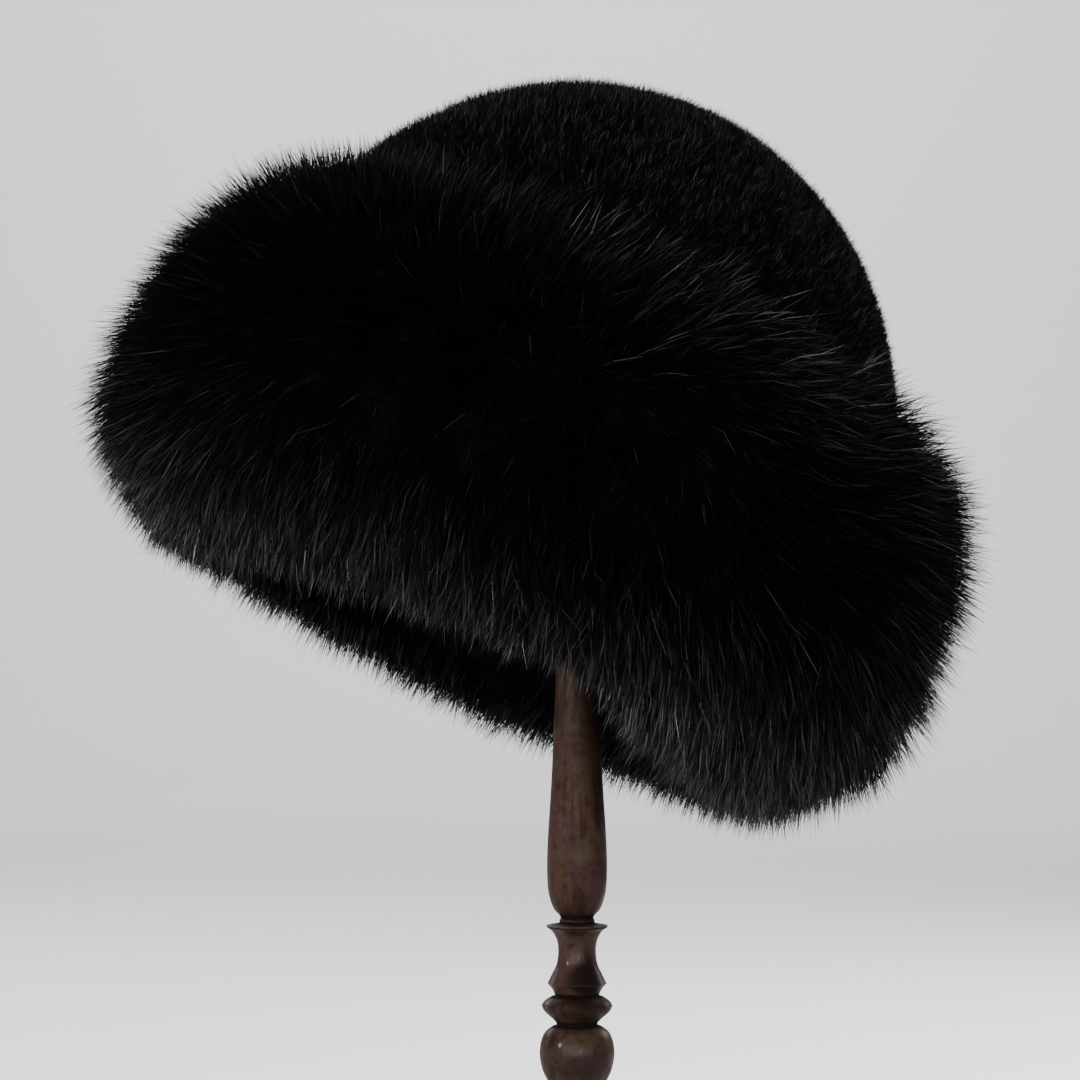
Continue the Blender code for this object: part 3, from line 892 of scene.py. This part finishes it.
def cuff_strands(name, part, count, guard, materials, draw):
    """Long guard hairs, or the shorter straight underfur, over one stretch of the way round."""
    angle = (part + draw.random(count)) * math.tau / CUFF_PIECES
    along = draw.random(count)
    sway = SWAY * draw.normal(size=(count, 3))
    if guard:
        sway *= GUARD_SWAY
        stretch = GUARD_LENGTH - GUARD_SPREAD * draw.random(count)
    else:
        stretch = FULL_LENGTH - LENGTH_SPREAD * draw.random(count)
    tuft_angle, tuft_along, tuft_sway = tuft_of(angle, along)
    stretch *= 1 + TUFT_LENGTH * np.clip(tuft_sway[:, 0] / TUFT_SWAY, -1.5, 1)
    hem = np.clip((along - HEM_START) / (1 - HEM_START), 0, 1)
    fringe = hem * hem_short(angle) * draw.random(count) ** (1 if guard else 3)
    stretch *= 1 + HEM_FRINGE * fringe / (1 - hem * hem_short(angle))
    over_crown = top_near(angle, along)
    if guard:
        stretch *= 1 + TOP_LONG * over_crown * draw.random(count)
    start, middle, tip = grown(angle, along, sway, stretch)
    _, tuft_middle, tuft_tip = grown(tuft_angle, tuft_along, tuft_sway, stretch)
    pull = TUFT_PULL * (GUARD_PULL if guard else 1) * draw.random(count)[:, None]
    tip += pull * (tuft_tip - tip)
    middle += 0.5 * pull * (tuft_middle - middle)
    # Painted light and shade: the lighter, glossy strands are many on the hem, the low side and over the
    # crown in front, and few up top
    low = np.clip((along - DULL_SHADED_ABOVE) / (GLOSSY_LIT_BELOW - DULL_SHADED_ABOVE), 0, 1)
    low_side = np.cos(angle)
    share = SHADED_TOP_GLOSS + (LIT_HEM_GLOSS - SHADED_TOP_GLOSS) * low + LIT_LOW_SIDE_GLOSS * np.maximum(low_side, 0)
    fan = np.clip(LIT_FAN_MIDDLE + low_side, LIT_FAN_LEAST, 1)
    share = np.maximum(share, LIT_OVER_CROWN_GLOSS * over_crown * fan)
    glossy = draw.random(count) < share * (1 if guard else UNDERFUR_GLOSS)
    shades = draw.integers(0, SHADES, count)
    if guard:
        points = np.stack([start, middle, tip], 1)
        widths = (GUARD_WIDTH, GUARD_TAPER * GUARD_WIDTH)
        return strands_mesh(name, points, widths, shades, glossy, materials, draw)
    points = np.stack([start, tip], 1)
    return strands_mesh(name, points, (UNDERFUR_WIDTH,), shades, glossy, materials, draw)


def make_cuff_pile(origin, materials):
    """The cuff's long pile, a quarter of the way round to a piece."""
    for part in range(CUFF_PIECES):
        draw = np.random.default_rng(FUR_SEED + part)
        name = f"cuff_pile_{part + 1}"
        pile = cuff_strands(name, part, GUARD_HAIRS, True, materials, draw)
        underfur = cuff_strands("underfur", part, UNDERFUR, False, materials, draw)
        join(pile, underfur)
        lay_down(pile, origin)
        finish_piece(pile, "long_fur")


def crown_strands(name, count, lean_share, longer, width, materials, draw):
    """Strands brushed up the dome."""
    widest, half_height, _ = dome_widest()
    narrow = CROWN_WIDTH / CROWN_LENGTH
    angle = math.tau * draw.random(count)
    height = CROWN_PILE_FOOT + (DOME_RISE - CROWN_PILE_FOOT) * draw.random(count)
    level = np.clip((height + DOME_EQUATOR_DROP) / half_height, 0, 1)
    radius = np.where(height > 0, widest * np.sqrt(1 - level**2), CROWN_LENGTH / 2)
    root = np.stack([radius * np.cos(angle), narrow * radius * np.sin(angle), height], -1)
    slope = np.where(height > 0, (height + DOME_EQUATOR_DROP) / half_height**2, 0)
    across = root[:, :2] / np.array([widest, widest * narrow]) ** 2
    normal = unit(np.concatenate([across, slope[:, None]], 1))
    up = np.array([0, 0, 1.0]) - normal[:, 2:] * normal
    nap = up / np.maximum(np.linalg.norm(up, axis=1, keepdims=True), 0.3)
    drift = CROWN_PILE_DRIFT * waves(root, CROWN_DRIFT_SPAN, NAP_DRIFT_SEED)
    lean = lean_share * (CROWN_PILE_LEAN * nap + drift)
    lean += CROWN_PILE_STRAY * draw.normal(size=(count, 3))
    way = unit(normal + lean)
    rising = np.maximum((way * normal).sum(1), CROWN_PILE_RISE)
    way = unit(way + (rising - (way * normal).sum(1))[:, None] * normal)
    low_side = np.clip((root[:, 0] / CROWN_LENGTH + 0.5), 0, 1)
    length = CROWN_PILE_LENGTH + low_side * (CROWN_PILE_LOW_LENGTH - CROWN_PILE_LENGTH)
    shortest = 1 - CROWN_PILE_SPREAD
    length *= longer * (shortest + CROWN_PILE_SPREAD * draw.random(count))
    points = np.stack([root, root + length[:, None] * way], 1)
    shades = draw.integers(0, SHADES, count)
    # Painted light and shade: more lighter strands up the dome and on the low side, fewer at its foot
    lit = CROWN_LIT + height / CROWN_LIT_RISE + CROWN_LIT_LOW_SIDE * np.cos(angle)
    glossy = draw.random(count) < CROWN_GLOSS * np.clip(lit, CROWN_LIT_LEAST, 1)
    return strands_mesh(name, points, (width,), shades, glossy, materials, draw)


def make_crown_pile(origin, materials):
    """The crown's short nap with coarser hairs among it."""
    draw = np.random.default_rng(NAP_SEED)
    pile = crown_strands("crown_pile", CROWN_NAP, 1, 1, CROWN_NAP_WIDTH, materials, draw)
    hairs = crown_strands(
        "crown_hairs",
        CROWN_HAIRS,
        CROWN_HAIR_LEAN,
        CROWN_HAIR_LENGTH,
        CROWN_HAIR_WIDTH,
        materials,
        draw,
    )
    join(pile, hairs)
    lay_down(pile, origin)
    finish_piece(pile, "crown_plush")


def smooth_run(stations):
    """Radius and height shares along a smooth curve through a run of stations."""
    spots = np.array([(row.radius, row.height) for row in stations])
    slopes = np.gradient(spots, axis=0)
    run = [tuple(spots[0])]
    for index in range(len(spots) - 1):
        for step in range(1, STATION_STEPS + 1):
            t = step / STATION_STEPS
            spot = (2 * t**3 - 3 * t**2 + 1) * spots[index] + (3 * t**2 - 2 * t**3) * spots[index + 1]
            spot += (t**3 - 2 * t**2 + t) * slopes[index] + (t**3 - t**2) * slopes[index + 1]
            run.append(tuple(spot))
    return run


def spindle_outline():
    """Radius and height down the post, from its head to its foot."""
    foot = BASE_HEIGHT + SEAT_GAP
    corners = [index for index, row in enumerate(SPINDLE_STATIONS) if row.corner]
    shares = [(SPINDLE_STATIONS[0].radius, SPINDLE_STATIONS[0].height)]
    for first, last in zip(corners, corners[1:]):
        shares += smooth_run(SPINDLE_STATIONS[first:last + 1])[1:]
    outline = [(SPINDLE_DIAMETER / 2 * r, foot + SPINDLE_LENGTH * h) for r, h in shares]
    return [(0, foot + SPINDLE_LENGTH), *outline, (0, foot)]


def base_outline():
    """Radius and height from the middle of the base's top, round its moulding, to its underside."""
    moulding = [
        (BASE_DIAMETER / 2 * row.reach, BASE_HEIGHT * row.height)
        for row in BASE_MOULDING
    ]
    return [(0, BASE_HEIGHT), *moulding, (0, 0)]


def head_outline():
    """Radius and height from the mushroom's top to the middle of its underside."""
    radius = HEAD_DIAMETER / 2
    rise = HEAD_HEIGHT - HEAD_LIP
    foot = BASE_HEIGHT + SPINDLE_LENGTH + 2 * SEAT_GAP
    turns = [math.pi / 2 * step / HEAD_STEPS for step in range(HEAD_STEPS + 1)]
    dome = [(radius * math.sin(t), foot + HEAD_LIP + rise * math.cos(t)) for t in turns]
    easing = HEAD_LIP / 3
    under = [(radius - easing, foot + easing), (radius - HEAD_LIP, foot), (0, foot)]
    return dome + under


def mark_grooves(piece, outline, foot, height):
    """Stores how far each point stands out from the turning around it, 0 in a groove, where shade is
    painted, and 1 on a ridge, and how deep its stain or painted shadow is."""
    radii, heights = np.array(outline[1:-1]).T
    grid = np.arange(heights.min(), heights.max(), GROOVE_STEP)
    order = np.argsort(heights, kind="stable")
    level = np.interp(grid, heights[order], radii[order])
    window = np.ones(GROOVE_REACH) / GROOVE_REACH
    around = np.convolve(np.pad(level, GROOVE_REACH // 2, "edge"), window, "valid")[:len(grid)]
    points = np.array([vertex.co for vertex in piece.data.vertices])
    stand = np.hypot(points[:, 0], points[:, 1]) - np.interp(points[:, 2], grid, around)
    proud = np.clip(0.5 + stand / GROOVE_DEPTH, 0, 1)
    share = (points[:, 2] - foot) / height
    # Painted shade in the listed hollows
    for groove in GROOVES:
        proud *= np.clip(np.abs(share - groove.height) / groove.span, 0, 1)
    # Ridge wear and the painted shade of the grooves in one mark
    wear_and_shade = piece.data.attributes.new("wear_and_shade", "FLOAT", "POINT")
    wear_and_shade.data.foreach_set("value", proud.astype(np.float32))
    angle = np.arctan2(points[:, 1], points[:, 0])
    # The first patch paints the hat's shadow and the shade on the upper post; the rest are darker patches
    dark = np.zeros(len(points))
    for stain in STAINS_AND_SHADOW:
        turned = np.angle(np.exp(1j * (angle - math.radians(stain.angle)))) / math.radians(stain.reach)
        raised = (share - stain.height) / stain.rise
        dark = np.maximum(dark, stain.depth * np.clip(1 - np.hypot(turned, raised), 0, 1))
    # The stain mark, with the painted shadow
    stain_and_shadow = piece.data.attributes.new("stain", "FLOAT", "POINT")
    stain_and_shadow.data.foreach_set("value", dark.astype(np.float32))


def mark_plain(piece):
    """Stores the same two marks for turning that is plain and evenly stained."""
    for name, value in (("wear_and_shade", 0.5), ("stain", 0.0)):
        marks = piece.data.attributes.new(name, "FLOAT", "POINT")
        marks.data.foreach_set("value", np.full(len(piece.data.vertices), value, np.float32))


def turn_piece(name, outline, node, material, foot=None, length=None):
    """Draws an outline as a chain of edges and spins it round the post's axis."""
    bpy.ops.object.select_all(action="DESELECT")
    bpy.ops.mesh.primitive_plane_add(size=0.001, location=(0, 0, 0))
    piece = start_piece(name)
    bpy.ops.mesh.merge(type="CENTER")
    radius, height = outline[0]
    bpy.ops.transform.translate(value=(radius, 0, height))
    for (r0, h0), (r1, h1) in zip(outline, outline[1:]):
        step = {"value": (r1 - r0, 0, h1 - h0)}
        bpy.ops.mesh.extrude_region_move(TRANSFORM_OT_translate=step)
    bpy.ops.mesh.select_all(action="SELECT")
    bpy.ops.mesh.spin(steps=LATHE_SIDES, angle=math.tau, center=(0, 0, 0), axis=(0, 0, 1))
    bpy.ops.mesh.select_all(action="SELECT")
    bpy.ops.mesh.remove_doubles(threshold=0.00001)
    bpy.ops.mesh.normals_make_consistent(inside=False)
    bpy.ops.object.mode_set(mode="OBJECT")
    bpy.ops.object.shade_smooth_by_angle(angle=math.radians(35))
    if foot is None:
        mark_plain(piece)
    else:
        mark_grooves(piece, outline, foot, length)
    finish_piece(piece, "dark_wood", material)
    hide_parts(node)


def make_stand(post_wood, base_wood):
    """The post, the disc it stands on and the mushroom that carries the hat."""
    post_foot = BASE_HEIGHT + SEAT_GAP
    turn_piece("post", spindle_outline(), "stand_spindle", post_wood, post_foot, SPINDLE_LENGTH)
    turn_piece("foot_disc", base_outline(), "stand_base", base_wood)
    turn_piece("post_head", head_outline(), "stand_head", post_wood)


def make_stage():
    """A pale floor that sweeps up into a backdrop."""
    bpy.ops.object.select_all(action="DESELECT")
    bpy.ops.mesh.primitive_plane_add(size=1, location=(0, 0, 0))
    floor = start_piece("floor")
    bpy.ops.transform.resize(value=(FLOOR_WIDTH, FLOOR_DEPTH, 1))
    bpy.ops.transform.translate(value=(0, FLOOR_MIDDLE, 0))
    bpy.ops.mesh.select_all(action="DESELECT")
    bpy.ops.object.mode_set(mode="OBJECT")
    for edge in floor.data.edges:
        edge.select = all(floor.data.vertices[i].co.y > 0 for i in edge.vertices)
    bpy.ops.object.mode_set(mode="EDIT")
    bpy.ops.mesh.select_mode(type="EDGE")
    bpy.ops.mesh.extrude_region_move(TRANSFORM_OT_translate={"value": (0, 0, WALL_HEIGHT)})
    bpy.ops.object.mode_set(mode="OBJECT")
    sweep = floor.modifiers.new("Sweep", "BEVEL")
    sweep.width = SWEEP_RADIUS
    sweep.segments = SWEEP_SEGMENTS
    sweep.limit_method = "ANGLE"
    bpy.ops.object.modifier_apply(modifier=sweep.name)
    bpy.ops.object.shade_smooth()
    material, _, shader = new_material("pale_floor", 0.7)
    shader.inputs["Base Color"].default_value = (0.56, 0.56, 0.57, 1)
    floor.data.materials.append(material)


def add_light(name, place, aim, size, power, tint=(1, 1, 1), mirrored=False):
    """An area light. Only the mirrored ones show as sheen on the fur and as highlights on the varnish."""
    lamp = bpy.data.lights.new(name, "AREA")
    lamp.shape = "RECTANGLE"
    lamp.size, lamp.size_y = size
    lamp.energy = power
    lamp.color = tint
    thing = bpy.data.objects.new(name, lamp)
    bpy.context.scene.collection.objects.link(thing)
    thing.location = place
    thing.rotation_euler = (Vector(aim) - Vector(place)).to_track_quat("-Z", "Y").to_euler()
    thing.visible_glossy = mirrored


def light_studio():
    """Soft boxes in front, a small window at the left, and lights for back, rim and backdrop."""
    hat = (0, 0, 0.33)
    add_light("key", (-0.45, -1.9, 0.46), (0, 0, 0.25), (2.4, 0.8), 72, mirrored=True)
    add_light("window", (-1.36, -0.85, 0.60), (0, 0, 0.13), (0.24, 0.24), 36, mirrored=True)
    add_light("fill", (0.9, -1.5, 0.35), hat, (1.2, 0.6), 16, mirrored=True)
    add_light("sparkle", (0.3, -1.9, 0.35), hat, (0.10, 0.10), 4, mirrored=True)
    add_light("top", (0.0, 0.9, 2.0), hat, (1.2, 0.8), 7)
    add_light("rim", (0.8, 0.8, 1.1), (0.05, 0, 0.40), (0.6, 0.6), 60, (1, 0.91, 0.87))
    add_light("back_left", (-1.2, 1.4, 1.0), hat, (1.2, 0.6), 26, mirrored=True)
    add_light("back_right", (1.3, 1.2, 0.9), hat, (1.0, 0.6), 22, mirrored=True)
    add_light("backdrop", (0.0, 2.6, 2.2), (0, 4.6, 0.7), (2.4, 0.8), 130)
    add_light("pool", (0.0, 0.9, 1.6), (0, 1.0, 0), (0.8, 0.5), 16)
    world = bpy.data.worlds.new("studio")
    world.use_nodes = True
    world.node_tree.nodes["Background"].inputs["Color"].default_value = (1, 1, 1, 1)
    world.node_tree.nodes["Background"].inputs["Strength"].default_value = WORLD_STRENGTH
    bpy.context.scene.world = world


def place_camera():
    """The camera at the photo's viewing angle."""
    lens = bpy.data.cameras.new("camera")
    lens.lens = CAMERA_LENS
    lens.sensor_width = CAMERA_SENSOR
    camera = bpy.data.objects.new("camera", lens)
    bpy.context.scene.collection.objects.link(camera)
    camera.location = CAMERA_PLACE
    camera.rotation_euler = (math.radians(90), 0, 0)
    bpy.context.scene.camera = camera


def main():
    """Materials, the hat, its stand and the studio."""
    bpy.ops.object.select_all(action="DESELECT")
    mottle = mottle_group()
    wood = wood_group(mottle)
    strand = strand_group()
    plush_ground = ground_material(
        "crown_plush_ground",
        mottle,
        dark=(0.0015, 0.0014, 0.0015),
        light=(0.004, 0.0036, 0.004),
        scale=60,
        roughness=0.95,
        bump=0.0004,
    )
    lining = ground_material(
        "black_lining",
        mottle,
        dark=(0.0006, 0.0006, 0.0006),
        light=(0.0012, 0.0012, 0.0012),
        scale=90,
        roughness=1.0,
        bump=0.0003,
    )
    shadow_fur = ground_material(
        "undercoat_fur",
        mottle,
        dark=(0.0006, 0.0006, 0.0006),
        light=(0.0016, 0.0016, 0.0016),
        scale=120,
        roughness=1.0,
        bump=0.001,
    )
    dull_fur = strand_material(
        "long_fur_dull",
        strand,
        root=(0.0003, 0.0003, 0.0003),
        tip=(0.0014, 0.0014, 0.0014),
        spread=1.5,
        matt=0.7,
        gloss=0.5,
        specular=0.05,
    )
    glossy_fur = strand_material(
        "long_fur_glossy",
        strand,
        root=(0.0010, 0.0010, 0.0010),
        tip=(0.0115, 0.0112, 0.0113),
        spread=2.6,
        matt=0.50,
        gloss=0.34,
        specular=0.2,
    )
    dull_plush = strand_material(
        "crown_pile_dull",
        strand,
        root=(0.0005, 0.0004, 0.0005),
        tip=(0.0020, 0.0014, 0.0017),
        spread=1.5,
        matt=0.8,
        gloss=0.6,
        specular=0.03,
    )
    glossy_plush = strand_material(
        "crown_pile_glossy",
        strand,
        root=(0.0012, 0.0008, 0.0010),
        tip=(0.0115, 0.0080, 0.0094),
        spread=1.3,
        matt=0.56,
        gloss=0.44,
        specular=0.14,
    )
    post_wood = wood_material("post_wood", wood, mottle, (0, math.radians(90), 0))
    base_wood = wood_material("base_wood", wood, mottle, (0, 0, math.radians(20)))

    origin = hat_origin()
    make_crown(origin, plush_ground, lining)
    make_undercoat(origin, shadow_fur)
    make_cuff_pile(origin, (dull_fur, glossy_fur))
    make_crown_pile(origin, (dull_plush, glossy_plush))
    make_stand(post_wood, base_wood)
    make_stage()
    light_studio()
    place_camera()


main()
